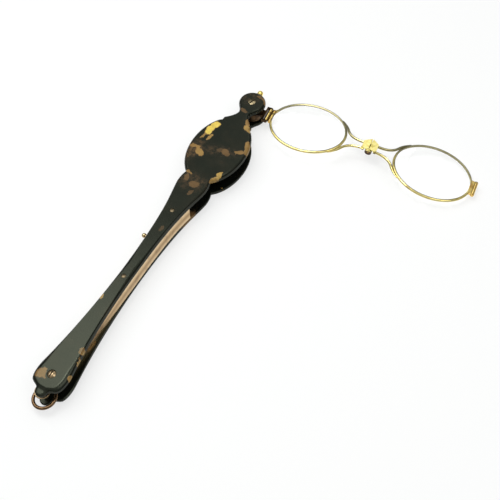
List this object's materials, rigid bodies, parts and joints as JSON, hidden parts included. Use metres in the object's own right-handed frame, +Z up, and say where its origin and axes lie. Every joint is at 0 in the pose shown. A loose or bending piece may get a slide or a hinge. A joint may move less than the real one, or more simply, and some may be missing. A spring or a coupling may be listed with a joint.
{
  "type": "folding lorgnette",
  "caption": "Folding lorgnette: two oval lenses on a spring hinge that swing out of a slim tortoiseshell handle, with a thumb stud, a release knob and a ribbon ring.",
  "frame": {"origin": "on the table face of the back scale, under the head pivot's axis", "axes": "+Y along the handle to its head, +X to the side where the open lenses stand, +Z up through the handle's thickness, from the back scale to the front scale"},
  "size_m": [0.128, 0.1988, 0.013],
  "materials": {
    "tortoiseshell": "polished dark tortoiseshell with amber patches",
    "gilt_bar": "pale gilt with fine cross hatching",
    "pale_screw": "polished pale gilt",
    "rivet_brass": "worn brass",
    "ring_gold": "polished rose gilt",
    "bronze": "darkened bronze",
    "spring_steel": "drawn spring wire",
    "bright_gold": "polished bright gilt",
    "block_gold": "polished gilt",
    "plate_gold": "satin pale gilt",
    "rim_gold": "polished brassy gilt wire",
    "lens_glass": "clear polished"
  },
  "bodies": {
    "handle": {"front_scale": "tortoiseshell", "back_scale": "tortoiseshell", "spacer_bar": "gilt_bar", "head_screw": "pale_screw", "tail_screw": "pale_screw", "scale_nuts": "rivet_brass", "rivets": "rivet_brass", "ring_post": "rivet_brass", "hub_washer": "rivet_brass", "catch_spring": "spring_steel"},
    "bush": {"pivot_bush": "bronze"},
    "near_half": {"swing_arm": "bronze", "swing_spring": "spring_steel", "thumb_stud": "bright_gold", "yoke_pin": "bronze", "near_upper_knuckle": "block_gold", "near_lower_knuckle": "block_gold", "near_closing_screw": "block_gold", "near_rim": "rim_gold", "near_lens": "lens_glass", "near_bridge_arms": "rim_gold", "near_hinge_plate": "plate_gold", "hinge_pin": "block_gold", "bridge_spring": "spring_steel"},
    "far_half": {"far_hinge_plate": "plate_gold", "far_bridge_arms": "rim_gold", "far_rim": "rim_gold", "far_lens": "lens_glass", "far_upper_knuckle": "block_gold", "far_lower_knuckle": "block_gold", "far_closing_screw": "block_gold"},
    "catch": {"catch_bolt": "bronze", "release_knob": "bright_gold"},
    "large_ring": {"large_ring": "ring_gold"},
    "small_ring": {"small_ring": "ring_gold"}
  },
  "joints": [
    {"name": "lens_swing", "type": "hinge", "parent": "handle", "child": "bush", "pos_m": [0, 0, 0.0063], "axis": [0, 0, -1], "range_deg": [0, 81], "stiffness_Nm_per_rad": 0.0006, "springref_deg": -57.3},
    {"name": "arm_seat", "type": "hinge", "parent": "bush", "child": "near_half", "pos_m": [0, 0, 0.0063], "axis": [0, 0, -1], "range_deg": [0, 13.5]},
    {"name": "bridge_fold", "type": "hinge", "parent": "near_half", "child": "far_half", "pos_m": [0.06121, 0.00482, 0.00735], "axis": [-0.0785, 0.9969, 0], "range_deg": [0, 171.5], "stiffness_Nm_per_rad": 0.0015, "springref_deg": -114.59},
    {"name": "catch_slide", "type": "slide", "parent": "handle", "child": "catch", "axis": [0, -1, 0], "range_m": [0, 0.002], "stiffness_N_per_m": 200, "springref_m": -0.001, "deforming": ["catch_spring"]},
    {"name": "large_ring_swing", "type": "hinge", "parent": "handle", "child": "large_ring", "pos_m": [0, -0.1702, 0.00427], "axis": [0, 0, 1], "range_deg": [-48, 60]},
    {"name": "small_ring_turn", "type": "hinge", "parent": "handle", "child": "small_ring", "pos_m": [0, -0.1702, 0.00633], "axis": [0, 0, 1], "continuous": true}
  ],
  "couplings": [
    {"joint": "arm_seat", "follows": "bridge_fold", "ratio": 0.0787}
  ]
}
